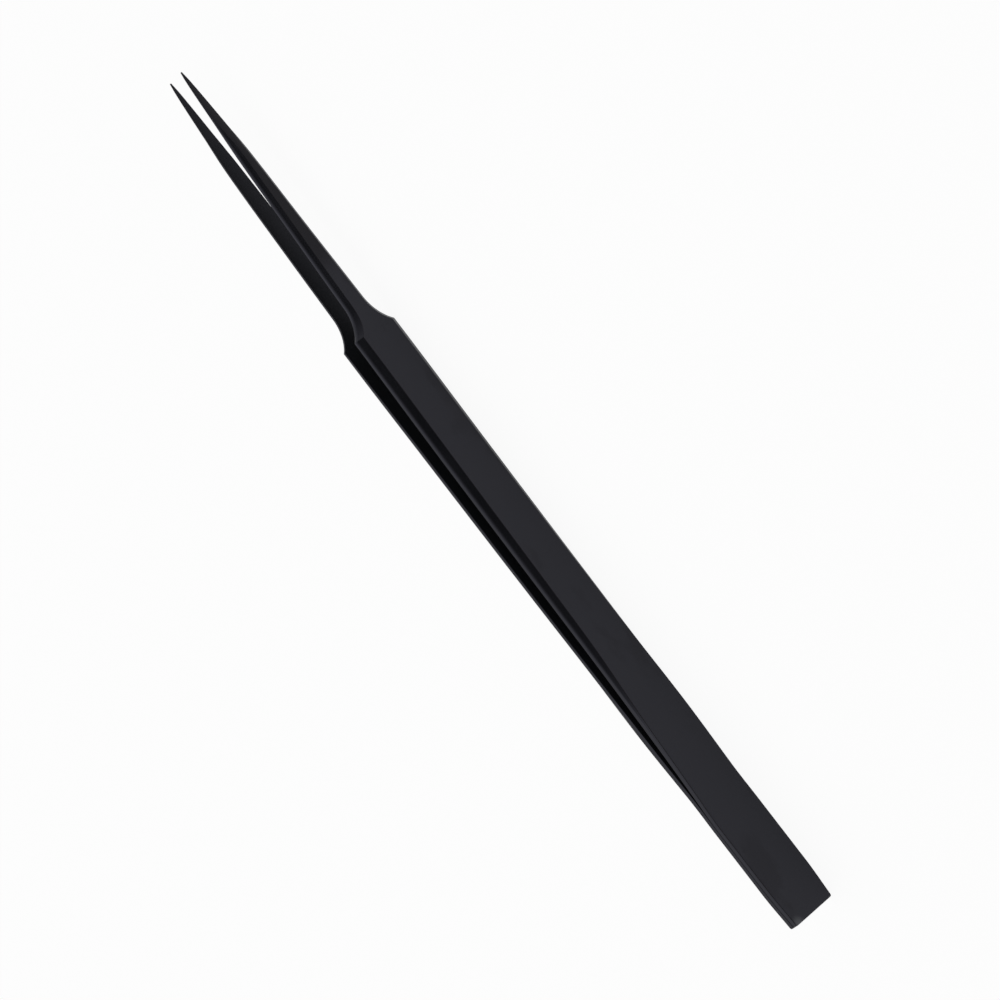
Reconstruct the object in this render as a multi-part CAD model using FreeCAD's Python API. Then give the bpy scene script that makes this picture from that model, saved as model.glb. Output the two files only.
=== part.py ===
"""Slender needle-point tweezers: two mirrored spring arms, welded face to face at the tail.

The pair lies on the long edges of its arms. +X runs from the tail to the points, Y across the two
arms and +Z up across their width. The front arm is on the -Y side. The origin is under the middle
of the length, on the surface that the tweezers lie on.

A station is a distance from the points, called "at" below. A cross-section of an arm has a flat
inner face, a narrow upright land along each edge, a broad round, a bevel and a flat outer face.
Its sizes change from station to station, and the arm is lofted through the sections.
"""

import FreeCAD, Part
import math
import os

# Stations along the tweezers, in millimetres from the points, and lengths at the tail
OVERALL_LENGTH = 140.0
NEEDLE_START_AT = 1.5
NEEDLE_TIP_AT = 4.0
NEEDLE_FORE_AT = 8.0
NEEDLE_MID_AT = 14.0
NEEDLE_REAR_AT = 25.0
SHOULDER_AT = 43.3
GRIP_AT = 62.0
WAIST_AT = 92.0
RUNOUT_BEFORE_WELD = 14.0
FLARE_BEFORE_WELD = 6.0
WELD_LENGTH = 16.0
END_SWEEP = 6.0

# Width of one arm: the waist, the flare and the tail are set off from the shoulder, and the end from the tail
POINT_WIDTH = 0.25
NEEDLE_START_WIDTH = 0.66
NEEDLE_TIP_WIDTH = 1.07
NEEDLE_FORE_WIDTH = 1.59
NEEDLE_MID_WIDTH = 2.39
NEEDLE_REAR_WIDTH = 3.04
NECK_WIDTH = 3.90
NECK_SPREAD_DEG = 3.0
SHOULDER_RADIUS = 6.51
SHOULDER_WIDTH = 8.36
WAIST_NARROWING = 0.02
FLARE_WIDENING = 0.32
TAIL_WIDENING = 0.67
END_NARROWING = 0.59
END_CORNER_RADIUS = 0.30

# How far the centre line sinks below the middle of the shoulder
POINT_DROP = 0.80
NEEDLE_REAR_DROP = 0.22

# Thickness of one arm
POINT_THICKNESS = 0.12
NEEDLE_FORE_THICKNESS = 0.36
NEEDLE_MID_THICKNESS = 0.74
NECK_THICKNESS = 0.87
SHOULDER_THICKNESS = 1.08
GRIP_THICKNESS = 1.21
WAIST_THICKNESS = 1.15
RUNOUT_THICKNESS = 0.87
TAIL_THICKNESS = 0.69

# Width of the bevel beside the outer face
POINT_BEVEL = 0.06
NEEDLE_FORE_BEVEL = 0.14
NEEDLE_MID_BEVEL = 0.74
NECK_BEVEL = 0.74
SHOULDER_BEVEL = 1.05
WAIST_BEVEL = 0.67
RUNOUT_BEVEL = 0.08
TAIL_BEVEL = 0.05

# Height of the bevel and the round together, above the land
RUNOUT_RISE = 0.40
TAIL_RISE = 0.20

# Height of the upright land between the inner face and the round
POINT_LAND = 0.03
SHOULDER_LAND = 0.10
GRIP_LAND = 0.24
WAIST_LAND = 0.08

# Radius between the land and the bevel
POINT_ROUND = 0.03
NEEDLE_MID_ROUND = 0.45
NECK_ROUND = 0.62
SHOULDER_ROUND = 0.85
GRIP_ROUND = 0.80
WAIST_ROUND = 0.72
RUNOUT_ROUND = 0.60
TAIL_ROUND = 0.25

# Half of the gap between the inner faces
POINT_HALF_GAP = 1.48
BOW_HALF_GAP = 1.55
SHOULDER_HALF_GAP = 1.28
GRIP_HALF_GAP = 0.98
WAIST_HALF_GAP = 0.74
RUNOUT_HALF_GAP = 0.39

# How many sections each stretch of an arm is lofted through
NEEDLE_SECTION_COUNT = 15
SHOULDER_SECTION_COUNT = 9
GRIP_SECTION_COUNT = 21
SWEEP_SECTION_COUNT = 4

END_AT = OVERALL_LENGTH
WELD_AT = END_AT - WELD_LENGTH
RUNOUT_AT = WELD_AT - RUNOUT_BEFORE_WELD
FLARE_AT = WELD_AT - FLARE_BEFORE_WELD
SWEEP_AT = END_AT - END_SWEEP
WAIST_WIDTH = SHOULDER_WIDTH - WAIST_NARROWING
FLARE_WIDTH = SHOULDER_WIDTH + FLARE_WIDENING
TAIL_WIDTH = SHOULDER_WIDTH + TAIL_WIDENING
END_WIDTH = TAIL_WIDTH - END_NARROWING
TAIL_HEIGHT = TAIL_WIDTH / 2
SHOULDER_HEIGHT = SHOULDER_WIDTH / 2


def smooth_law(*stations):
    """Make a size that runs through (at, value) stations and never overshoots between them."""
    places = [at for at, _ in stations]
    values = [value for _, value in stations]
    last = len(stations) - 1
    steps = [places[i + 1] - places[i] for i in range(last)]
    rises = [(values[i + 1] - values[i]) / steps[i] for i in range(last)]
    slopes = [0.0] * (last + 1)
    slopes[0] = rises[0]
    slopes[last] = rises[last - 1]
    for i in range(1, last):
        if rises[i - 1] * rises[i] > 0:
            before = 2 * steps[i] + steps[i - 1]
            after = steps[i] + 2 * steps[i - 1]
            slopes[i] = (before + after) / (before / rises[i - 1] + after / rises[i])

    def size(at):
        i = 0
        while i < last - 1 and at > places[i + 1]:
            i += 1
        part = (at - places[i]) / steps[i]
        rest = 1 - part
        return (
            values[i] * (1 + 2 * part) * rest**2
            + values[i + 1] * (3 - 2 * part) * part**2
            + steps[i] * part * rest * (slopes[i] * rest - slopes[i + 1] * part)
        )

    return size


# The hollow shoulder: an arc that leaves the neck along the needle's taper and ends at the corner
NECK_SPREAD = math.radians(NECK_SPREAD_DEG)
ARC_CENTRE_RISE = SHOULDER_RADIUS * math.cos(NECK_SPREAD)
ARC_CENTRE_BACK = SHOULDER_RADIUS * math.sin(NECK_SPREAD)
CORNER_BELOW_CENTRE = ARC_CENTRE_RISE - (SHOULDER_WIDTH - NECK_WIDTH) / 2
SHOULDER_LENGTH = math.sqrt(SHOULDER_RADIUS**2 - CORNER_BELOW_CENTRE**2) - ARC_CENTRE_BACK
NECK_AT = SHOULDER_AT - SHOULDER_LENGTH

needle_width = smooth_law(
    (0.0, POINT_WIDTH),
    (NEEDLE_START_AT, NEEDLE_START_WIDTH),
    (NEEDLE_TIP_AT, NEEDLE_TIP_WIDTH),
    (NEEDLE_FORE_AT, NEEDLE_FORE_WIDTH),
    (NEEDLE_MID_AT, NEEDLE_MID_WIDTH),
    (NEEDLE_REAR_AT, NEEDLE_REAR_WIDTH),
    (NECK_AT, NECK_WIDTH),
)

grip_width = smooth_law(
    (SHOULDER_AT, SHOULDER_WIDTH),
    (WAIST_AT, WAIST_WIDTH),
    (FLARE_AT, FLARE_WIDTH),
    (WELD_AT, TAIL_WIDTH),
    (SWEEP_AT, TAIL_WIDTH),
    (END_AT, END_WIDTH),
)

thickness = smooth_law(
    (0.0, POINT_THICKNESS),
    (NEEDLE_FORE_AT, NEEDLE_FORE_THICKNESS),
    (NEEDLE_MID_AT, NEEDLE_MID_THICKNESS),
    (NECK_AT, NECK_THICKNESS),
    (SHOULDER_AT, SHOULDER_THICKNESS),
    (GRIP_AT, GRIP_THICKNESS),
    (WAIST_AT, WAIST_THICKNESS),
    (RUNOUT_AT, RUNOUT_THICKNESS),
    (WELD_AT, TAIL_THICKNESS),
    (END_AT, TAIL_THICKNESS),
)

bevel_width = smooth_law(
    (0.0, POINT_BEVEL),
    (NEEDLE_FORE_AT, NEEDLE_FORE_BEVEL),
    (NEEDLE_MID_AT, NEEDLE_MID_BEVEL),
    (NECK_AT, NECK_BEVEL),
    (SHOULDER_AT, SHOULDER_BEVEL),
    (WAIST_AT, WAIST_BEVEL),
    (RUNOUT_AT, RUNOUT_BEVEL),
    (WELD_AT, TAIL_BEVEL),
    (END_AT, TAIL_BEVEL),
)

needle_land = smooth_law(
    (0.0, POINT_LAND),
    (SHOULDER_AT, SHOULDER_LAND),
)

bevel_rise = smooth_law(
    (SHOULDER_AT, SHOULDER_THICKNESS - SHOULDER_LAND),
    (GRIP_AT, GRIP_THICKNESS - GRIP_LAND),
    (WAIST_AT, WAIST_THICKNESS - WAIST_LAND),
    (RUNOUT_AT, RUNOUT_RISE),
    (WELD_AT, TAIL_RISE),
    (END_AT, TAIL_RISE),
)

edge_round = smooth_law(
    (0.0, POINT_ROUND),
    (NEEDLE_MID_AT, NEEDLE_MID_ROUND),
    (NECK_AT, NECK_ROUND),
    (SHOULDER_AT, SHOULDER_ROUND),
    (GRIP_AT, GRIP_ROUND),
    (WAIST_AT, WAIST_ROUND),
    (RUNOUT_AT, RUNOUT_ROUND),
    (WELD_AT, TAIL_ROUND),
    (END_AT, TAIL_ROUND),
)

half_gap = smooth_law(
    (0.0, POINT_HALF_GAP),
    (NEEDLE_MID_AT, BOW_HALF_GAP),
    (SHOULDER_AT, SHOULDER_HALF_GAP),
    (GRIP_AT, GRIP_HALF_GAP),
    (WAIST_AT, WAIST_HALF_GAP),
    (RUNOUT_AT, RUNOUT_HALF_GAP),
    (WELD_AT, 0.0),
    (END_AT, 0.0),
)

# The tail and the shoulder's corners both lie on the rest surface, and the needle sinks towards it.
centre_height = smooth_law(
    (0.0, SHOULDER_HEIGHT - POINT_DROP),
    (NEEDLE_REAR_AT, SHOULDER_HEIGHT - NEEDLE_REAR_DROP),
    (SHOULDER_AT, SHOULDER_HEIGHT),
    (WAIST_AT, TAIL_HEIGHT),
    (END_AT, TAIL_HEIGHT),
)


def half_width(at):
    """Half of the arm's width: the needle's taper, the shoulder's arc, then the grip."""
    if at <= NECK_AT:
        return needle_width(at) / 2
    if at < SHOULDER_AT:
        run = at - NECK_AT + ARC_CENTRE_BACK
        return NECK_WIDTH / 2 + ARC_CENTRE_RISE - math.sqrt(SHOULDER_RADIUS**2 - run**2)
    return grip_width(at) / 2


def land_height(at):
    """Height of the upright land, which on the grip and the tail is what the bevel leaves."""
    if at < SHOULDER_AT:
        return needle_land(at)
    return thickness(at) - bevel_rise(at)


def section(at):
    """The front arm's closed outline across its length at one station."""
    half = half_width(at)
    depth = thickness(at)
    bevel = bevel_width(at)
    land = land_height(at)
    radius = edge_round(at)
    centre = centre_height(at)
    gap = half_gap(at)

    # The bevel runs from the outer face's edge to where it is tangent to the round.
    across = radius - bevel
    rise = depth - land
    reach = math.hypot(across, rise)
    turn = math.atan2(rise, across) - math.acos(radius / reach)

    def place(side, width, height):
        return FreeCAD.Vector(OVERALL_LENGTH / 2 - at, -gap - height, centre + side * width)

    def round_point(side, angle):
        width = half - radius + radius * math.cos(angle)
        return place(side, width, land + radius * math.sin(angle))

    edges = [Part.LineSegment(place(-1, half, 0), place(1, half, 0))]
    edges.append(Part.LineSegment(place(1, half, 0), place(1, half, land)))
    edges.append(Part.Arc(place(1, half, land), round_point(1, turn / 2), round_point(1, turn)))
    edges.append(Part.LineSegment(round_point(1, turn), place(1, half - bevel, depth)))
    edges.append(Part.LineSegment(place(1, half - bevel, depth), place(-1, half - bevel, depth)))
    edges.append(Part.LineSegment(place(-1, half - bevel, depth), round_point(-1, turn)))
    edges.append(Part.Arc(round_point(-1, turn), round_point(-1, turn / 2), place(-1, half, land)))
    edges.append(Part.LineSegment(place(-1, half, land), place(-1, half, 0)))
    return Part.Wire([edge.toShape() for edge in edges])


def stretch(start, end, sections):
    """One solid stretch of the front arm between two stations."""
    gaps = sections - 1
    places = [start + (end - start) * i / gaps for i in range(sections)]
    return Part.makeLoft([section(at) for at in places], True, False)


def end_corner_cutter(side):
    """What rounds one corner of the arm's tail end, seen from beside the arm."""
    slope = (half_width(END_AT) - half_width(END_AT - END_CORNER_RADIUS)) / END_CORNER_RADIUS
    lean = math.atan(-slope)
    tangent_length = END_CORNER_RADIUS / math.tan((math.pi / 2 + lean) / 2)

    def place(back, out):
        x = OVERALL_LENGTH / 2 - END_AT + back
        y = -GRIP_THICKNESS
        return FreeCAD.Vector(x, y, TAIL_HEIGHT + side * (half_width(END_AT) + out))

    on_side = place(tangent_length * math.cos(lean), tangent_length * math.sin(lean))
    on_end = place(0, -tangent_length)
    middle = place(
        END_CORNER_RADIUS * (1 - math.cos(math.pi / 4 - lean / 2)),
        -tangent_length + END_CORNER_RADIUS * math.sin(math.pi / 4 - lean / 2),
    )
    beyond_side = place(tangent_length * math.cos(lean), END_CORNER_RADIUS)
    beyond_corner = place(-END_CORNER_RADIUS, END_CORNER_RADIUS)
    beyond_end = place(-END_CORNER_RADIUS, -tangent_length)
    outline = [
        Part.Arc(on_side, middle, on_end),
        Part.LineSegment(on_end, beyond_end),
        Part.LineSegment(beyond_end, beyond_corner),
        Part.LineSegment(beyond_corner, beyond_side),
        Part.LineSegment(beyond_side, on_side),
    ]
    face = Part.Face(Part.Wire([edge.toShape() for edge in outline]))
    return face.extrude(FreeCAD.Vector(0, 2 * GRIP_THICKNESS, 0))


def make_front_arm():
    """The front arm: needle, shoulder, grip, welded tail and swept end."""
    needle = stretch(0.0, NECK_AT, NEEDLE_SECTION_COUNT)
    shoulder = stretch(NECK_AT, SHOULDER_AT, SHOULDER_SECTION_COUNT)
    grip = stretch(SHOULDER_AT, WELD_AT, GRIP_SECTION_COUNT)
    tail = stretch(WELD_AT, SWEEP_AT, 2)
    swept_end = stretch(SWEEP_AT, END_AT, SWEEP_SECTION_COUNT)
    arm = needle.fuse([shoulder, grip, tail, swept_end])
    return arm.cut([end_corner_cutter(1), end_corner_cutter(-1)])


def make_back_arm(front_arm):
    """The back arm, the front arm's mirror image across the plane between the two."""
    return front_arm.mirror(FreeCAD.Vector(0, 0, 0), FreeCAD.Vector(0, 1, 0))


def main():
    """Write each arm to its own file."""
    os.makedirs("parts", exist_ok=True)
    front_arm = make_front_arm()
    arms = {"front_arm": front_arm, "back_arm": make_back_arm(front_arm)}
    for name, arm in arms.items():
        box = arm.BoundBox
        print(name, arm.isValid(), len(arm.Solids), len(arm.Faces), round(arm.Volume, 2))
        print([round(v, 3) for v in (box.XMin, box.YMin, box.ZMin, box.XMax, box.YMax, box.ZMax)])
        arm.exportStep(os.path.join("parts", name + ".step"))


main()
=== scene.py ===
"""Slender needle-point tweezers: two ground spring arms under a satin black coating.

The pair lies on the long edges of its arms, with the points towards +X, the front arm on the -Y
side and the arms' width upright. A station, called "at", is a distance from the points. Sizes of
the arms are in millimetres, as on a maker's drawing, and sizes of the studio are in metres.
"""

import logging
import math
from dataclasses import dataclass
from dataclasses import field
from enum import Enum
from functools import cached_property

import bmesh
import bpy
import numpy as np
from mathutils import Matrix
from mathutils import Vector


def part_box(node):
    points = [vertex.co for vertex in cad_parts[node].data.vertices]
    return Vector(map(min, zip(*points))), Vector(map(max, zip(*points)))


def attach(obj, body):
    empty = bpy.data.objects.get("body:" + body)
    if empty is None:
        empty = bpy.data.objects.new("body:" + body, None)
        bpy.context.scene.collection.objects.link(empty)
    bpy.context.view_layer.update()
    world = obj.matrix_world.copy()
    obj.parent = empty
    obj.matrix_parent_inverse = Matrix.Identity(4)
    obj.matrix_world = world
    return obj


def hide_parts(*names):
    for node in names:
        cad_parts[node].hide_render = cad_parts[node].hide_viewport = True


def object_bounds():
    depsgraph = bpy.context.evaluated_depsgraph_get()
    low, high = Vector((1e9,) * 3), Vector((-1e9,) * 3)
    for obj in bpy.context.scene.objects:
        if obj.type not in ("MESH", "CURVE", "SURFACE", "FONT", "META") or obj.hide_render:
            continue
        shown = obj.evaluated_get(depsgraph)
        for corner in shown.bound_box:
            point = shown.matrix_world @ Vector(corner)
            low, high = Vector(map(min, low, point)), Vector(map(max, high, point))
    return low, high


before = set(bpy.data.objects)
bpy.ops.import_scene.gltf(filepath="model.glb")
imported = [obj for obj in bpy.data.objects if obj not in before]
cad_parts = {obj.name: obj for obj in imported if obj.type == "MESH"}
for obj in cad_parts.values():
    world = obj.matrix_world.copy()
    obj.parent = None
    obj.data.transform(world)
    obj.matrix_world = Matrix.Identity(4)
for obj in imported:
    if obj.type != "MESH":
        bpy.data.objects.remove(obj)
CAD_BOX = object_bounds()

LOG = logging.getLogger("tweezers")
MM = 0.001
BODY = "root"
NOISE_SPAN = (0.3, 0.7)
Colour = tuple[float, float, float]
Point = tuple[float, float]


class ArmSide(Enum):
    """Which arm: its value is the sign of Y on its side."""

    FRONT = -1
    BACK = 1

    @property
    def node(self) -> str:
        """Name of the solid that this arm is dressed over."""
        return f"{self.name.lower()}_arm"


class ArmSurface(Enum):
    """A surface of the arm that has its own coating: its value is the coating's place in the mesh."""

    OUTER_FACE = 0
    SIDE = 1
    INNER_FACE = 2
    # Painted shade: a dull dark brownish line along the rounded edge of the outer face.
    WORN_EDGE = 3


class NoiseUse(Enum):
    """What a noise pattern on the coating stands for: its scale along X, and its octaves of finer noise."""

    MOTTLE = (0.35, 3.0)
    GRAIN = (0.04, 4.0)
    SMUDGE = (0.45, 5.0)
    ORANGE_PEEL = (1.0, 2.0)

    @property
    def stretch(self) -> tuple[float, float, float]:
        """Scale of the pattern along X, Y and Z."""
        return (self.value[0], 1.0, 1.0)

    @property
    def detail(self) -> float:
        """Octaves of finer noise."""
        return self.value[1]


class SizeLaw:
    """A size that runs smoothly through its stations and never overshoots between them."""

    def __init__(self, *stations: tuple[float, float]) -> None:
        """Work out the slope at each station.

        Args:
            stations: Pairs of a place and the size there, in order of place.
        """
        self.places = [place for place, _ in stations]
        self.sizes = [size for _, size in stations]
        steps = np.diff(self.places)
        rises = np.diff(self.sizes) / steps
        slopes = [rises[0]]
        for i in range(1, len(rises)):
            slopes.append(self._slope(steps[i - 1], steps[i], rises[i - 1], rises[i]))
        slopes.append(rises[-1])
        self.slopes = slopes

    @staticmethod
    def _slope(step_in: float, step_out: float, rise_in: float, rise_out: float) -> float:
        """Slope at a station between two stretches, level where the size turns back.

        Args:
            step_in: Length of the stretch before.
            step_out: Length of the stretch after.
            rise_in: Mean slope of the stretch before.
            rise_out: Mean slope of the stretch after.

        Returns:
            The slope.
        """
        if rise_in * rise_out <= 0:
            return 0.0
        before = 2 * step_out + step_in
        after = step_out + 2 * step_in
        return (before + after) / (before / rise_in + after / rise_out)

    def __call__(self, place: float) -> float:
        """Give the size at a place.

        Args:
            place: Distance along the arm.

        Returns:
            The size there.
        """
        i = int(np.clip(np.searchsorted(self.places, place) - 1, 0, len(self.places) - 2))
        step = self.places[i + 1] - self.places[i]
        part = (place - self.places[i]) / step
        rest = 1 - part
        ends = self.sizes[i] * (1 + 2 * part) * rest**2 + self.sizes[i + 1] * (3 - 2 * part) * part**2
        return ends + step * part * rest * (self.slopes[i] * rest - self.slopes[i + 1] * part)


@dataclass(frozen=True)
class ArmForm:
    """The ground form of one arm in millimetres: stations, widths, thicknesses and edges.

    The bevel, the land and the round between them are a little finer than the solid's, and the small
    radii of the edges and the crown near the point are in this form alone.
    """

    length: float
    tail_width: float

    needle_start_at: float = 1.5
    needle_tip_at: float = 4.0
    needle_fore_at: float = 8.0
    needle_mid_at: float = 14.0
    needle_rear_at: float = 25.0
    shoulder_at: float = 43.3
    grip_at: float = 62.0
    waist_at: float = 92.0
    runout_before_weld: float = 14.0
    flare_before_weld: float = 6.0
    weld_length: float = 16.0
    end_sweep: float = 6.0

    point_width: float = 0.25
    needle_start_width: float = 0.66
    needle_tip_width: float = 1.07
    needle_fore_width: float = 1.59
    needle_mid_width: float = 2.39
    needle_rear_width: float = 3.04
    neck_width: float = 3.90
    neck_spread_deg: float = 3.0
    shoulder_radius: float = 6.51
    waist_narrowing: float = 0.02
    flare_widening: float = 0.32
    tail_widening: float = 0.67
    end_narrowing: float = 0.59
    end_corner_radius: float = 0.30
    point_drop: float = 0.80
    needle_rear_drop: float = 0.22

    point_thickness: float = 0.12
    needle_fore_thickness: float = 0.36
    needle_mid_thickness: float = 0.74
    neck_thickness: float = 0.87
    shoulder_thickness: float = 1.08
    grip_thickness: float = 1.21
    waist_thickness: float = 1.15
    runout_thickness: float = 0.87
    tail_thickness: float = 0.69

    point_bevel: float = 0.06
    needle_fore_bevel: float = 0.17
    needle_mid_bevel: float = 0.66
    neck_bevel: float = 0.74
    shoulder_bevel: float = 1.05
    waist_bevel: float = 0.70
    runout_bevel: float = 0.07
    tail_bevel: float = 0.05

    runout_rise: float = 0.33
    tail_rise: float = 0.20

    point_land: float = 0.03
    shoulder_land: float = 0.08
    grip_land: float = 0.26
    waist_land: float = 0.27

    point_round: float = 0.03
    needle_fore_round: float = 0.28
    needle_mid_round: float = 0.59
    needle_rear_round: float = 0.61
    neck_round: float = 0.63
    shoulder_round: float = 0.62
    grip_round: float = 0.62
    waist_round: float = 0.62
    runout_round: float = 0.30
    tail_round: float = 0.16

    point_half_gap: float = 1.48
    bow_half_gap: float = 1.55
    shoulder_half_gap: float = 1.28
    grip_half_gap: float = 0.98
    waist_half_gap: float = 0.74
    runout_half_gap: float = 0.39

    crown_at: float = 12.0
    crown_until: float = 20.0
    needle_crown: float = 0.040

    point_edge: float = 0.010
    inner_edge: float = 0.050
    inner_edge_share: float = 0.9
    seam_edge: float = 0.080
    outer_edge: float = 0.050
    end_edge: float = 0.090
    point_end_edge: float = 0.045

    @property
    def weld_at(self) -> float:
        """Station where the arms part in front of the weld."""
        return self.length - self.weld_length

    @property
    def runout_at(self) -> float:
        """Station where the bevel has nearly run out."""
        return self.weld_at - self.runout_before_weld

    @property
    def flare_at(self) -> float:
        """Station where the grip's even width begins to flare out to the tail."""
        return self.weld_at - self.flare_before_weld

    @property
    def sweep_at(self) -> float:
        """Station where the sides begin to sweep in to the end."""
        return self.length - self.end_sweep

    @property
    def shoulder_width(self) -> float:
        """Width across the corners of the shoulder."""
        return self.tail_width - self.tail_widening

    @cached_property
    def arc_rise(self) -> float:
        """How far the shoulder arc's centre is beside the neck's edge."""
        return self.shoulder_radius * math.cos(math.radians(self.neck_spread_deg))

    @cached_property
    def arc_back(self) -> float:
        """How far the shoulder arc's centre is in front of the neck."""
        return self.shoulder_radius * math.sin(math.radians(self.neck_spread_deg))

    @cached_property
    def neck_at(self) -> float:
        """Station where the needle ends and the hollow shoulder begins.

        Returns:
            The station.
        """
        corner_below = self.arc_rise - (self.shoulder_width - self.neck_width) / 2
        run = math.sqrt(self.shoulder_radius**2 - corner_below**2) - self.arc_back
        return self.shoulder_at - run

    @cached_property
    def needle_width(self) -> SizeLaw:
        """Width of the needle.

        Returns:
            The law from the point to the neck.
        """
        return SizeLaw(
            (0.0, self.point_width),
            (self.needle_start_at, self.needle_start_width),
            (self.needle_tip_at, self.needle_tip_width),
            (self.needle_fore_at, self.needle_fore_width),
            (self.needle_mid_at, self.needle_mid_width),
            (self.needle_rear_at, self.needle_rear_width),
            (self.neck_at, self.neck_width),
        )

    @cached_property
    def grip_width(self) -> SizeLaw:
        """Width of the grip and the tail.

        Returns:
            The law from the shoulder to the end.
        """
        return SizeLaw(
            (self.shoulder_at, self.shoulder_width),
            (self.waist_at, self.shoulder_width - self.waist_narrowing),
            (self.flare_at, self.shoulder_width + self.flare_widening),
            (self.weld_at, self.tail_width),
            (self.sweep_at, self.tail_width),
            (self.length, self.tail_width - self.end_narrowing),
        )

    @cached_property
    def thickness(self) -> SizeLaw:
        """Thickness from the inner face to the outer face.

        Returns:
            The law along the whole arm.
        """
        return SizeLaw(
            (0.0, self.point_thickness),
            (self.needle_fore_at, self.needle_fore_thickness),
            (self.needle_mid_at, self.needle_mid_thickness),
            (self.neck_at, self.neck_thickness),
            (self.shoulder_at, self.shoulder_thickness),
            (self.grip_at, self.grip_thickness),
            (self.waist_at, self.waist_thickness),
            (self.runout_at, self.runout_thickness),
            (self.weld_at, self.tail_thickness),
            (self.length, self.tail_thickness),
        )

    @cached_property
    def bevel(self) -> SizeLaw:
        """Width of the bevel beside the outer face.

        Returns:
            The law along the whole arm.
        """
        return SizeLaw(
            (0.0, self.point_bevel),
            (self.needle_fore_at, self.needle_fore_bevel),
            (self.needle_mid_at, self.needle_mid_bevel),
            (self.neck_at, self.neck_bevel),
            (self.shoulder_at, self.shoulder_bevel),
            (self.waist_at, self.waist_bevel),
            (self.runout_at, self.runout_bevel),
            (self.weld_at, self.tail_bevel),
            (self.length, self.tail_bevel),
        )

    @cached_property
    def needle_land(self) -> SizeLaw:
        """Height of the upright land beside the needle's inner face."""
        return SizeLaw((0.0, self.point_land), (self.shoulder_at, self.shoulder_land))

    @cached_property
    def bevel_rise(self) -> SizeLaw:
        """How much of the grip's and the tail's thickness the bevel takes.

        Returns:
            The law from the shoulder to the end.
        """
        return SizeLaw(
            (self.shoulder_at, self.shoulder_thickness - self.shoulder_land),
            (self.grip_at, self.grip_thickness - self.grip_land),
            (self.waist_at, self.waist_thickness - self.waist_land),
            (self.runout_at, self.runout_rise),
            (self.weld_at, self.tail_rise),
            (self.length, self.tail_rise),
        )

    @cached_property
    def centre_height(self) -> SizeLaw:
        """Height of the centre line, at which the shoulder's corners and the tail lie on the floor.

        Returns:
            The law along the whole arm.
        """
        shoulder_height = self.shoulder_width / 2
        tail_height = self.tail_width / 2
        return SizeLaw(
            (0.0, shoulder_height - self.point_drop),
            (self.needle_rear_at, shoulder_height - self.needle_rear_drop),
            (self.shoulder_at, shoulder_height),
            (self.waist_at, tail_height),
            (self.length, tail_height),
        )

    @cached_property
    def edge_round(self) -> SizeLaw:
        """Radius between the land and the bevel.

        Returns:
            The law along the whole arm.
        """
        return SizeLaw(
            (0.0, self.point_round),
            (self.needle_fore_at, self.needle_fore_round),
            (self.needle_mid_at, self.needle_mid_round),
            (self.needle_rear_at, self.needle_rear_round),
            (self.neck_at, self.neck_round),
            (self.shoulder_at, self.shoulder_round),
            (self.grip_at, self.grip_round),
            (self.waist_at, self.waist_round),
            (self.runout_at, self.runout_round),
            (self.weld_at, self.tail_round),
            (self.length, self.tail_round),
        )

    @cached_property
    def half_gap(self) -> SizeLaw:
        """Distance from the middle plane to the inner face.

        Returns:
            The law along the whole arm.
        """
        return SizeLaw(
            (0.0, self.point_half_gap),
            (self.needle_mid_at, self.bow_half_gap),
            (self.shoulder_at, self.shoulder_half_gap),
            (self.grip_at, self.grip_half_gap),
            (self.waist_at, self.waist_half_gap),
            (self.runout_at, self.runout_half_gap),
            (self.weld_at, 0.0),
            (self.length, 0.0),
        )

    @cached_property
    def crown(self) -> SizeLaw:
        """How far the outer face bulges in the middle near the points.

        Returns:
            The law along the whole arm.
        """
        return SizeLaw(
            (0.0, 0.0),
            (self.crown_at, self.needle_crown),
            (self.crown_until, 0.0),
            (self.length, 0.0),
        )

    @cached_property
    def inner_edge_radius(self) -> SizeLaw:
        """Small radius on the edge of the inner face.

        Returns:
            The law along the whole arm.
        """
        return SizeLaw(
            (0.0, self.point_edge),
            (self.shoulder_at, self.inner_edge),
            (self.weld_at, self.seam_edge),
            (self.length, self.seam_edge),
        )

    @cached_property
    def outer_edge_radius(self) -> SizeLaw:
        """Small radius on the edge of the outer face.

        Returns:
            The law along the whole arm.
        """
        return SizeLaw(
            (0.0, self.point_edge),
            (self.shoulder_at, self.outer_edge),
            (self.length, self.outer_edge),
        )

    def half_width(self, at: float) -> float:
        """Give half of the arm's width: the needle's taper, the shoulder's arc, then the grip.

        Args:
            at: Station.

        Returns:
            Half of the width.
        """
        if at <= self.neck_at:
            return self.needle_width(at) / 2
        if at < self.shoulder_at:
            run = at - self.neck_at + self.arc_back
            return self.neck_width / 2 + self.arc_rise - math.sqrt(self.shoulder_radius**2 - run**2)
        return self.grip_width(at) / 2

    def land(self, at: float) -> float:
        """Give the height of the upright land, which on the grip and the tail is what the bevel leaves.

        Args:
            at: Station.

        Returns:
            The land's height.
        """
        if at < self.shoulder_at:
            return self.needle_land(at)
        return self.thickness(at) - self.bevel_rise(at)

    def end_insets(self, at: float) -> tuple[float, float]:
        """Give how far the section shrinks near an end of the arm.

        Args:
            at: Station.

        Returns:
            The inset of the faces, and the inset of the sides, in millimetres.
        """
        from_tail = self.length - at
        edge = arc_inset(self.end_edge, from_tail) + arc_inset(self.point_end_edge, at)
        return edge, edge + arc_inset(self.end_corner_radius, from_tail)


def arc_inset(radius: float, distance: float) -> float:
    """Give how far a rounded edge has drawn in at a distance from the end face.

    Args:
        radius: Radius of the edge.
        distance: Distance from the end face.

    Returns:
        Zero beyond the radius, and the whole radius at the end face.
    """
    if distance >= radius:
        return 0.0
    return radius - math.sqrt(radius**2 - (radius - distance) ** 2)


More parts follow.
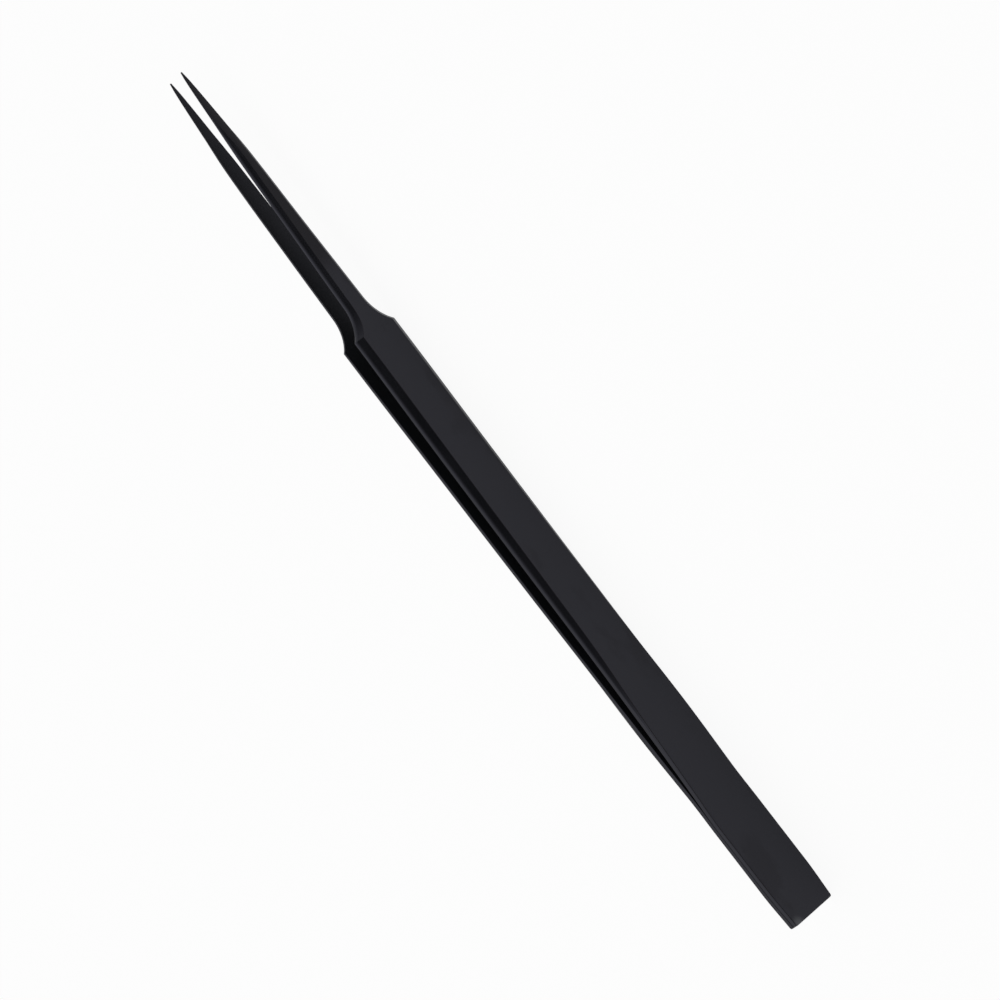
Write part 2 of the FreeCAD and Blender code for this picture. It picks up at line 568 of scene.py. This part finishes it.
@dataclass(frozen=True)
class MeshDensity:
    """How finely an arm's mesh is divided."""

    inner_face: int = 10
    inner_edge: int = 4
    land: int = 2
    round: int = 8
    bevel: int = 5
    outer_edge: int = 5
    outer_face: int = 12
    end_steps: int = 9
    stretches: tuple[tuple[float, float], ...] = (
        (0.0, 0.15),
        (4.0, 0.30),
        (14.0, 0.50),
        (36.0, 0.20),
        (42.6, 0.06),
        (44.0, 0.40),
        (48.0, 0.80),
        (133.0, 0.30),
        (138.4, 0.10),
    )

    def surface(self, i: int) -> ArmSurface:
        """Tell which surface a strip of the mesh belongs to.

        Args:
            i: The strip's number around the section, from the inner face's middle upwards.

        Returns:
            The surface.
        """
        # The rounded edge of the outer face takes the painted shade's coating.
        shade_edge_from = self.inner_face + self.inner_edge + self.land + self.round + self.bevel
        face = shade_edge_from + self.outer_edge
        half_count = face + self.outer_face
        k = min(i, 2 * half_count - 1 - i)
        if k < self.inner_face:
            return ArmSurface.INNER_FACE
        if k < shade_edge_from:
            return ArmSurface.SIDE
        return ArmSurface.WORN_EDGE if k < face else ArmSurface.OUTER_FACE


@dataclass
class ShaderGraph:
    """The node tree of a material or of the room around the tweezers, built up call by call."""

    owner: bpy.types.Material | bpy.types.World

    def __post_init__(self) -> None:
        """Start from an empty tree with an output."""
        self.owner.use_nodes = True
        self.nodes = self.owner.node_tree.nodes
        self.links = self.owner.node_tree.links
        self.nodes.clear()
        self.output = self.nodes.new(f"ShaderNodeOutput{type(self.owner).__name__}")

    def put(self, value: object, socket: bpy.types.NodeSocket) -> None:
        """Link a socket's value to an input, or set a plain value on it.

        Args:
            value: A socket or a plain value.
            socket: The input.
        """
        if isinstance(value, bpy.types.NodeSocket):
            self.links.new(value, socket)
        else:
            socket.default_value = value

    def add(self, kind: str, **inputs: object) -> bpy.types.Node:
        """Add a node and set or link its inputs.

        Args:
            kind: Node type without its "ShaderNode" prefix.
            inputs: Values, or sockets to link, by input name with underscores for spaces.

        Returns:
            The new node.
        """
        node = self.nodes.new(f"ShaderNode{kind}")
        for name, value in inputs.items():
            self.put(value, node.inputs[name.replace("_", " ")])
        return node

    def worked_out(self, kind: str, operation: str, *values: object) -> bpy.types.NodeSocket:
        """Work out a value from others.

        Args:
            kind: "Math" for numbers or "VectorMath" for directions and places.
            operation: Name of the sum.
            values: Sockets or plain values, in the order that the sum takes them.

        Returns:
            The result.
        """
        node = self.add(kind)
        node.operation = operation
        for value, socket in zip(values, node.inputs):
            self.put(value, socket)
        return next(socket for socket in node.outputs if socket.enabled)

    def noise(self, use: NoiseUse, size: float) -> bpy.types.NodeSocket:
        """Add a noise pattern in the object's own space.

        Args:
            use: What the pattern stands for, which sets its stretch and detail.
            size: Size of its features across the arm, in millimetres.

        Returns:
            The pattern's value, around one half.
        """
        place = self.add("TexCoord")
        stretch = self.add("Mapping", Vector=place.outputs["Object"], Scale=use.stretch)
        pattern = self.add(
            "TexNoise", Vector=stretch.outputs["Vector"], Scale=1 / (size * MM), Detail=use.detail
        )
        return pattern.outputs["Fac"]

    def ranged(self, value: bpy.types.NodeSocket, low: float, high: float) -> bpy.types.NodeSocket:
        """Spread a noise value over a range.

        Args:
            value: The noise, which lies mostly within NOISE_SPAN.
            low: What the span's lower end becomes.
            high: What its upper end becomes.

        Returns:
            The value in the range.
        """
        start, end = NOISE_SPAN
        spread = self.add("MapRange", Value=value, From_Min=start, From_Max=end, To_Min=low, To_Max=high)
        return spread.outputs["Result"]

    def blend(self, factor: bpy.types.NodeSocket, first: Colour, second: Colour) -> bpy.types.NodeSocket:
        """Mix two colours by a factor.

        Args:
            factor: Share of the second colour.
            first: The first colour.
            second: The second colour.

        Returns:
            The mixed colour.
        """
        mix = self.nodes.new("ShaderNodeMix")
        mix.data_type = "RGBA"
        self.links.new(factor, mix.inputs["Factor"])
        start, end = (socket for socket in mix.inputs if socket.enabled and socket.type == "RGBA")
        self.put((*first, 1.0), start)
        self.put((*second, 1.0), end)
        return next(socket for socket in mix.outputs if socket.enabled)

    def fade_in(self, start: float, end: float) -> bpy.types.NodeSocket:
        """Give a share that rises smoothly from zero to one between two places along X.

        Args:
            start: Where it leaves zero, in millimetres.
            end: Where it reaches one, in millimetres.

        Returns:
            The share.
        """
        place = self.add("TexCoord")
        split = self.add("SeparateXYZ", Vector=place.outputs["Object"])
        share = self.add("MapRange", Value=split.outputs["X"], From_Min=start * MM, From_Max=end * MM)
        share.interpolation_type = "SMOOTHSTEP"
        return share.outputs["Result"]

    def stepped(
        self, value: bpy.types.NodeSocket, low: float, high: float, top: float
    ) -> bpy.types.NodeSocket:
        """Raise a share smoothly from zero to its top where a value passes between two levels.

        Args:
            value: The value.
            low: Level up to which the share is zero.
            high: Level from which the share is at its top.
            top: The largest share.

        Returns:
            The share.
        """
        share = self.add("MapRange", Value=value, From_Min=low, From_Max=high, To_Max=top)
        share.interpolation_type = "SMOOTHSTEP"
        return share.outputs["Result"]

    def near(self, middle: Vector, reach: float) -> bpy.types.NodeSocket:
        """Give a share that is one in a patch's middle on either arm and falls to zero at its reach.

        Args:
            middle: The patch's middle, of which only X and Z count.
            reach: Where the share has fallen to zero, in millimetres.

        Returns:
            The share.
        """
        place = self.add("TexCoord")
        flat = self.add("Mapping", Vector=place.outputs["Object"], Scale=(1.0, 0.0, 1.0))
        apart = self.worked_out("VectorMath", "DISTANCE", flat.outputs["Vector"], middle)
        share = self.add("MapRange", Value=apart, From_Min=reach * MM, From_Max=0.0)
        share.interpolation_type = "SMOOTHSTEP"
        return share.outputs["Result"]

    def mixed(
        self, share: bpy.types.NodeSocket, first: bpy.types.NodeSocket, second: bpy.types.NodeSocket
    ) -> bpy.types.NodeSocket:
        """Mix two shaders.

        Args:
            share: The second shader's share.
            first: The first shader.
            second: The second shader.

        Returns:
            The mixed shader.
        """
        mix = self.add("MixShader")
        for value, socket in zip((share, first, second), mix.inputs):
            self.put(value, socket)
        return mix.outputs[0]

    def surface(self, shader: bpy.types.NodeSocket) -> None:
        """Join a shader to the output."""
        self.links.new(shader, self.output.inputs["Surface"])


@dataclass(frozen=True)
class Gloss:
    """How strongly, how sharply and in what tint a coated surface mirrors what is around it."""

    specular_level: float
    roughness: float
    tint: Colour = (0.80, 0.80, 1.0)
    spread: float = 0.08


@dataclass(frozen=True)
class SatinBlackCoating:
    """A thin satin black coating over finely ground steel, which differs a little along the arm."""

    name: str
    dark: Colour
    light: Colour
    grip: Gloss
    needle: Gloss
    # Painted highlight: the gloss of a patch near the upper corner of the tail's end.
    rubbed: Gloss
    needle_until: float = 30.5
    grip_from: float = 34.5
    smudge_share: float = 0.35
    smudge_size: float = 5.0
    smudge_from: float = 0.56
    smudge_full: float = 0.66
    # Reach of the painted highlight, and how far its middle lies below the tail's top corner, in
    # millimetres.
    rubbed_reach: float = 1.5
    rubbed_below_top: float = 0.6
    mottle_size: float = 2.6
    grain_size: float = 0.22
    peel_size: float = 0.12
    grain_depth: float = 0.0012
    peel_depth: float = 0.0006

    def material(self, form: ArmForm) -> bpy.types.Material:
        """Build the coating's material.

        Args:
            form: The arm's form, for where the needle and the tail's corner are.

        Returns:
            A material whose colour, gloss and relief all vary a little, with a painted highlight by the
            tail's corner.
        """
        graph = ShaderGraph(bpy.data.materials.new(self.name))
        mottle = graph.noise(NoiseUse.MOTTLE, self.mottle_size)
        grain = graph.noise(NoiseUse.GRAIN, self.grain_size)
        peel = graph.noise(NoiseUse.ORANGE_PEEL, self.peel_size)
        smudge = graph.noise(NoiseUse.SMUDGE, self.smudge_size)
        colour = graph.blend(graph.ranged(mottle, 0.0, 1.0), self.dark, self.light)
        ground = graph.add("Bump", Height=grain, Distance=self.grain_depth * MM, Strength=1.0)
        coated = graph.add("Bump", Height=peel, Distance=self.peel_depth * MM, Strength=1.0)
        graph.put(ground.outputs["Normal"], coated.inputs["Normal"])
        grip, needle, rubbed = (
            self.layer(graph, gloss, colour, mottle, coated.outputs["Normal"])
            for gloss in (self.grip, self.needle, self.rubbed)
        )
        # The arm's middle is at X = 0, with the points at +X.
        half = form.length / 2
        needle_share = graph.fade_in(half - self.grip_from, half - self.needle_until)
        smudge_share = graph.stepped(smudge, self.smudge_from, self.smudge_full, self.smudge_share)
        dull_share = graph.worked_out("Math", "MAXIMUM", needle_share, smudge_share)
        # Painted highlight: around this place near the upper corner of the tail's end, on either arm, the
        # coating mirrors far more strongly.
        corner = Vector((-half, 0.0, form.tail_width - form.end_narrowing / 2 - self.rubbed_below_top)) * MM
        shader = graph.mixed(dull_share, grip, needle)
        graph.surface(graph.mixed(graph.near(corner, self.rubbed_reach), shader, rubbed))
        return graph.owner

    @staticmethod
    def layer(
        graph: ShaderGraph,
        gloss: Gloss,
        colour: bpy.types.NodeSocket,
        mottle: bpy.types.NodeSocket,
        normal: bpy.types.NodeSocket,
    ) -> bpy.types.NodeSocket:
        """Add one degree of gloss.

        Args:
            graph: The material's tree.
            gloss: The gloss.
            colour: The coating's colour.
            mottle: The pattern that the roughness follows.
            normal: The relief's normal.

        Returns:
            The shader.
        """
        half = gloss.spread / 2
        roughness = graph.ranged(mottle, gloss.roughness - half, gloss.roughness + half)
        layer = graph.add("BsdfPrincipled", Base_Color=colour, Roughness=roughness, Normal=normal)
        layer.inputs["Specular IOR Level"].default_value = gloss.specular_level
        layer.inputs["Specular Tint"].default_value = (*gloss.tint, 1.0)
        return layer.outputs["BSDF"]


# One coating for each surface of an arm.
COATINGS = {
    ArmSurface.OUTER_FACE: SatinBlackCoating(
        name="satin_black_outer_face",
        dark=(0.0042, 0.0045, 0.0052),
        light=(0.0058, 0.0060, 0.0071),
        grip=Gloss(specular_level=0.35, roughness=0.34),
        needle=Gloss(specular_level=0.21, roughness=0.34, tint=(0.88, 0.84, 1.0)),
        # The painted highlight near the tail's corner mirrors about three times as strongly as the grip.
        rubbed=Gloss(specular_level=1.0, roughness=0.36, tint=(0.90, 0.92, 1.0)),
    ),
    ArmSurface.SIDE: SatinBlackCoating(
        name="satin_black_sides",
        dark=(0.0042, 0.0045, 0.0052),
        light=(0.0058, 0.0060, 0.0071),
        grip=Gloss(specular_level=0.34, roughness=0.34),
        needle=Gloss(specular_level=0.46, roughness=0.34),
        rubbed=Gloss(specular_level=0.34, roughness=0.34),
        needle_until=36.0,
        grip_from=64.0,
        smudge_share=0.0,
    ),
    # Painted light: the inner faces' colour is about twice as light as that of the other surfaces, which
    # lightens these faces in the narrow gap between the arms.
    ArmSurface.INNER_FACE: SatinBlackCoating(
        name="satin_black_inner_face",
        dark=(0.0085, 0.0092, 0.0110),
        light=(0.0115, 0.0125, 0.0148),
        grip=Gloss(specular_level=0.18, roughness=0.50),
        needle=Gloss(specular_level=0.18, roughness=0.50),
        rubbed=Gloss(specular_level=0.18, roughness=0.50),
    ),
    # Painted shade: the rounded edge of the outer face is a dull dark brownish line with almost no gloss,
    # except in the painted highlight near the tail's corner.
    ArmSurface.WORN_EDGE: SatinBlackCoating(
        name="worn_edge",
        dark=(0.0095, 0.0072, 0.0062),
        light=(0.0140, 0.0105, 0.0090),
        grip=Gloss(specular_level=0.05, roughness=0.60),
        needle=Gloss(specular_level=0.05, roughness=0.60),
        rubbed=Gloss(specular_level=0.30, roughness=0.40),
    ),
}


@dataclass
class SpringArm:
    """One arm: needle, hollow shoulder, bevelled grip and welded tail."""

    side: ArmSide
    form: ArmForm
    density: MeshDensity = field(default_factory=MeshDensity)

    def stations(self) -> list[float]:
        """Give the stations of the mesh's rings, closest at the ends and the shoulder.

        Returns:
            The stations in order.
        """
        form = self.form
        starts = [start for start, _ in self.density.stretches] + [form.length - form.end_corner_radius]
        places = self._end_places(form.point_end_edge)
        for (start, spacing), end in zip(self.density.stretches, starts[1:]):
            start = max(start, form.point_end_edge)
            places += list(np.linspace(start, end, max(2, round((end - start) / spacing)), endpoint=False))
        places += [form.length - place for place in self._end_places(form.end_corner_radius)]
        for crease in (form.neck_at, form.shoulder_at, form.weld_at, form.sweep_at):
            nearest = min(range(len(places)), key=lambda i: abs(places[i] - crease))
            places[nearest] = crease
        return sorted(set(places))

    def _end_places(self, radius: float) -> list[float]:
        """Distances from an end face that divide a rounded edge evenly, from the face inwards."""
        steps = self.density.end_steps
        return [radius * (1 - math.cos(math.pi / 2 * i / steps)) for i in range(steps)]

    def half_outline(self, at: float) -> list[Point]:
        """Trace the upper half of the section, from the inner face's middle to the outer one's.

        Args:
            at: Station.

        Returns:
            Points as a width from the centre line and a height above the inner face.
        """
        form = self.form
        half = form.half_width(at)
        depth = form.thickness(at)
        bevel = form.bevel(at)
        land = form.land(at)
        radius = form.edge_round(at)
        inner = min(form.inner_edge_radius(at), form.inner_edge_share * land)
        outer = form.outer_edge_radius(at)
        # The bevel's flat runs from the edge of the outer face so that it just touches the round.
        reach = math.hypot(radius - bevel, depth - land)
        turn = math.atan2(depth - land, radius - bevel) - math.acos(radius / reach)
        tangent = outer * math.tan((math.pi / 2 - turn) / 2)
        density = self.density
        points = self._run((0.0, 0.0), (half - inner, 0.0), density.inner_face)
        points += self._arc((half - inner, inner), inner, (-math.pi / 2, 0.0), density.inner_edge)
        points += self._run((half, inner), (half, land), density.land)
        points += self._arc((half - radius, land), radius, (0.0, turn), density.round)
        bevel_start = (half - radius + radius * math.cos(turn), land + radius * math.sin(turn))
        fillet_centre = (half - bevel - tangent, depth - outer)
        bevel_end = (fillet_centre[0] + outer * math.cos(turn), fillet_centre[1] + outer * math.sin(turn))
        points += self._run(bevel_start, bevel_end, density.bevel)
        points += self._arc(fillet_centre, outer, (turn, math.pi / 2), density.outer_edge)
        crown = form.crown(at)
        flat = self._run((fillet_centre[0], depth), (0.0, depth), density.outer_face) + [(0.0, depth)]
        face_half = fillet_centre[0]
        return points + [(width, height + crown * (1 - (width / face_half) ** 2)) for width, height in flat]

    @staticmethod
    def _run(start: Point, end: Point, parts: int) -> list[Point]:
        """Divide a straight line into parts, without its last point."""
        return [
            (start[0] + (end[0] - start[0]) * i / parts, start[1] + (end[1] - start[1]) * i / parts)
            for i in range(parts)
        ]

    @staticmethod
    def _arc(centre: Point, radius: float, angles: tuple[float, float], parts: int) -> list[Point]:
        """Divide an arc into parts, without its last point."""
        turns = np.linspace(*angles, parts, endpoint=False)
        return [(centre[0] + radius * math.cos(turn), centre[1] + radius * math.sin(turn)) for turn in turns]

    def ring(self, at: float) -> list[Vector]:
        """Place the whole section in the frame.

        Args:
            at: Station.

        Returns:
            The ring's points in metres.
        """
        form = self.form
        upper = self.half_outline(at)
        lower = [(-width, height) for width, height in reversed(upper[1:-1])]
        face_inset, side_inset = form.end_insets(at)
        half = form.half_width(at)
        depth = form.thickness(at)
        narrow = (half - min(side_inset, half)) / half
        flat = (depth - 2 * min(face_inset, depth / 2)) / depth
        x = form.length / 2 - at
        middle = form.half_gap(at) + depth / 2
        centre = form.centre_height(at)
        out = self.side.value
        return [
            Vector((x, out * (middle + flat * (height - depth / 2)), centre + width * narrow)) * MM
            for width, height in upper + lower
        ]

    def build(self) -> bpy.types.Object:
        """Loft the arm's mesh through its rings and close both ends.

        Returns:
            The arm as a smooth shaded object.
        """
        mesh = bpy.data.meshes.new(f"{self.side.node}_form")
        shape = bmesh.new()
        rings = [[shape.verts.new(point) for point in self.ring(at)] for at in self.stations()]
        count = len(rings[0])
        for first, second in zip(rings, rings[1:]):
            for i in range(count):
                j = (i + 1) % count
                face = shape.faces.new((first[i], first[j], second[j], second[i]))
                face.material_index = self.density.surface(i).value
        shape.faces.new(rings[0])
        shape.faces.new(rings[-1])
        bmesh.ops.recalc_face_normals(shape, faces=shape.faces)
        for face in shape.faces:
            face.smooth = True
        shape.to_mesh(mesh)
        shape.free()
        arm = bpy.data.objects.new(f"coated_{self.side.node}", mesh)
        bpy.context.scene.collection.objects.link(arm)
        shading = arm.modifiers.new("face_weighted_shading", "WEIGHTED_NORMAL")
        shading.mode = "FACE_AREA"
        return arm

    def dress(self, arm: bpy.types.Object, materials: list[bpy.types.Material]) -> None:
        """Coat the arm, seat it on its body and let it stand for its solid.

        Args:
            arm: The arm.
            materials: The coatings, in the order of their places in the mesh.
        """
        for material in materials:
            arm.data.materials.append(material)
        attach(arm, BODY)
        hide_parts(self.side.node)


@dataclass
class Tweezers:
    """The pair of arms."""

    form: ArmForm

    def build(self) -> list[bpy.types.Object]:
        """Build and dress both arms.

        Returns:
            The front arm and the back arm.
        """
        materials = [COATINGS[surface].material(self.form) for surface in ArmSurface]
        arms = []
        for side in ArmSide:
            maker = SpringArm(side, self.form)
            arm = maker.build()
            maker.dress(arm, materials)
            LOG.info("%s: %d faces", arm.name, len(arm.data.polygons))
            arms.append(arm)
        return arms


@dataclass(frozen=True)
class WhiteFloor:
    """A pale sweep that reads as plain white and keeps a faint shadow."""

    half_size: float = 6.0
    albedo: float = 0.95
    seen_light: float = 0.93
    mirrored_light: float = 0.6

    def build(self) -> bpy.types.Object:
        """Lay the floor at the height that the tweezers rest on.

        Returns:
            The floor.
        """
        mesh = bpy.data.meshes.new("floor_sheet")
        size = self.half_size
        corners = [(-size, -size, 0.0), (size, -size, 0.0), (size, size, 0.0), (-size, size, 0.0)]
        mesh.from_pydata(corners, [], [(0, 1, 2, 3)])
        floor = bpy.data.objects.new("floor", mesh)
        bpy.context.scene.collection.objects.link(floor)
        mesh.materials.append(self.material())
        return floor

    def material(self) -> bpy.types.Material:
        """Mix a lit white surface with plain white, where it is seen directly or in the coating.

        Returns:
            The floor's material.
        """
        graph = ShaderGraph(bpy.data.materials.new("white_sweep"))
        ray = graph.add("LightPath")
        seen = graph.worked_out("Math", "MULTIPLY", ray.outputs["Is Camera Ray"], self.seen_light)
        mirrored = graph.worked_out("Math", "MULTIPLY", ray.outputs["Is Glossy Ray"], self.mirrored_light)
        lit = graph.add("BsdfDiffuse", Color=(self.albedo, self.albedo, self.albedo, 1.0))
        white = graph.add("Emission", Color=(1.0, 1.0, 1.0, 1.0), Strength=1.0)
        share = graph.worked_out("Math", "MAXIMUM", seen, mirrored)
        graph.surface(graph.mixed(share, lit.outputs[0], white.outputs[0]))
        return graph.owner


@dataclass(frozen=True)
class Softbox:
    """A soft rectangular lamp above and behind the tweezers."""

    name: str = "overhead_softbox"
    width: float = 1.6
    depth: float = 1.0
    distance: float = 1.0
    elevation_deg: float = 61.0
    azimuth_deg: float = 0.0
    brightness: float = 0.39

    def build(self) -> bpy.types.Object:
        """Hang the lamp so that it faces the tweezers.

        Returns:
            The lamp.
        """
        lamp = bpy.data.lights.new(self.name, "AREA")
        lamp.shape = "RECTANGLE"
        lamp.size = self.width
        lamp.size_y = self.depth
        lamp.energy = self.brightness * math.pi * self.width * self.depth
        softbox = bpy.data.objects.new(self.name, lamp)
        softbox.location = spot(self.azimuth_deg, self.elevation_deg, self.distance)
        softbox.rotation_euler = softbox.location.to_track_quat("Z", "Y").to_euler()
        bpy.context.scene.collection.objects.link(softbox)
        return softbox


def spot(azimuth_deg: float, elevation_deg: float, distance: float) -> Vector:
    """Give a place around the tweezers.

    Args:
        azimuth_deg: Turn from +Y, behind the tweezers, towards +X.
        elevation_deg: Height above the floor as an angle.
        distance: Distance from the origin in metres.

    Returns:
        The place.
    """
    azimuth = math.radians(azimuth_deg)
    elevation = math.radians(elevation_deg)
    level = Vector((math.sin(azimuth), math.cos(azimuth), 0.0)) * math.cos(elevation)
    return (level + Vector((0.0, 0.0, math.sin(elevation)))) * distance


@dataclass(frozen=True)
class StudioRoom:
    """A softly lit room: bright a little behind overhead and at both ends, and dim towards the front."""

    dim: float = 0.05
    ends: float = 0.8
    bright: float = 1.10
    bright_elevation_deg: float = 63.0
    falloff: float = 1.7

    def build(self) -> bpy.types.World:
        """Make the room as the world around the tweezers.

        Returns:
            The world.
        """
        world = bpy.data.worlds.new("studio_room")
        graph = ShaderGraph(world)
        direction = graph.add("TexCoord").outputs["Generated"]
        bright_side = spot(0.0, self.bright_elevation_deg, 1.0)
        towards = graph.worked_out("VectorMath", "DOT_PRODUCT", direction, bright_side)
        above = graph.worked_out("Math", "MAXIMUM", towards, 0.0)
        falloff = graph.worked_out("Math", "POWER", above, self.falloff)
        overhead = graph.worked_out("Math", "MULTIPLY_ADD", falloff, self.bright, self.dim)
        lengthwise = graph.add("SeparateXYZ", Vector=direction).outputs["X"]
        sideways = graph.worked_out("Math", "MULTIPLY", lengthwise, lengthwise)
        level = graph.worked_out("Math", "MULTIPLY_ADD", sideways, self.ends, overhead)
        graph.surface(graph.add("Background", Strength=level).outputs[0])
        bpy.context.scene.world = world
        return world


@dataclass(frozen=True)
class PhotoCamera:
    """The camera of the photograph: a long lens, turned so that the tweezers lie on a diagonal.

    Its distance is in metres, and its lens, its sensor and what it aims past the middle are in millimetres.
    """

    elevation_deg: float = 43.0
    swing_deg: float = 2.066
    turn_deg: float = 0.296
    diagonal_deg: float = 52.651
    distance: float = 0.60618
    aim_along: float = 1.344
    aim_across: float = 0.714
    lens: float = 163.81
    sensor: float = 36.0

    def build(self) -> bpy.types.Object:
        """Set up the camera and make it the scene's own.

        Returns:
            The camera.
        """
        tilt = math.radians(self.elevation_deg)
        swing = math.radians(self.swing_deg)
        level = math.cos(tilt)
        rise = math.sin(tilt)
        along = Vector((-math.cos(swing), math.sin(swing) * level, -math.sin(swing) * rise))
        across = Vector((0.0, -rise, -level))
        back = Vector((-math.sin(swing), -math.cos(swing) * level, math.cos(swing) * rise))
        return self._place(along, across, back)

    def _place(self, along: Vector, across: Vector, back: Vector) -> bpy.types.Object:
        """Place the camera from its view's directions along and across the tweezers.

        Args:
            along: Direction along the tweezers in the view, towards their tail.
            across: Direction across them in the view, towards the floor.
            back: Direction from the tweezers to the camera.

        Returns:
            The camera.
        """
        turn = math.radians(self.turn_deg)
        lengthwise = along * math.cos(turn) - across * math.sin(turn)
        crosswise = along * math.sin(turn) + across * math.cos(turn)
        diagonal = math.radians(self.diagonal_deg)
        right = lengthwise * math.cos(diagonal) + crosswise * math.sin(diagonal)
        up = crosswise * math.cos(diagonal) - lengthwise * math.sin(diagonal)
        middle = Vector((0.0, 0.0, (CAD_BOX[0][2] + CAD_BOX[1][2]) / 2))
        aim = middle + (lengthwise * self.aim_along + crosswise * self.aim_across) * MM
        place = aim + back * self.distance
        data = bpy.data.cameras.new("photo_camera")
        data.lens = self.lens
        data.sensor_width = self.sensor
        camera = bpy.data.objects.new("photo_camera", data)
        camera.matrix_world = Matrix.Translation(place) @ Matrix((right, up, back)).transposed().to_4x4()
        bpy.context.scene.collection.objects.link(camera)
        bpy.context.scene.camera = camera
        return camera


def main() -> None:
    """Build the tweezers, then the studio around them."""
    logging.basicConfig(level=logging.INFO, format="%(name)s: %(message)s")
    low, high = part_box(ArmSide.FRONT.node)
    form = ArmForm(length=(high.x - low.x) / MM, tail_width=(high.z - low.z) / MM)
    arms = Tweezers(form).build()
    LOG.info("arms: %d", len(arms))
    for part in (WhiteFloor(), Softbox(), StudioRoom(), PhotoCamera()):
        made = part.build()
        LOG.info("studio: %s", made.name)
    bpy.context.scene.view_settings.view_transform = "Standard"


if __name__ == "__main__":
    main()
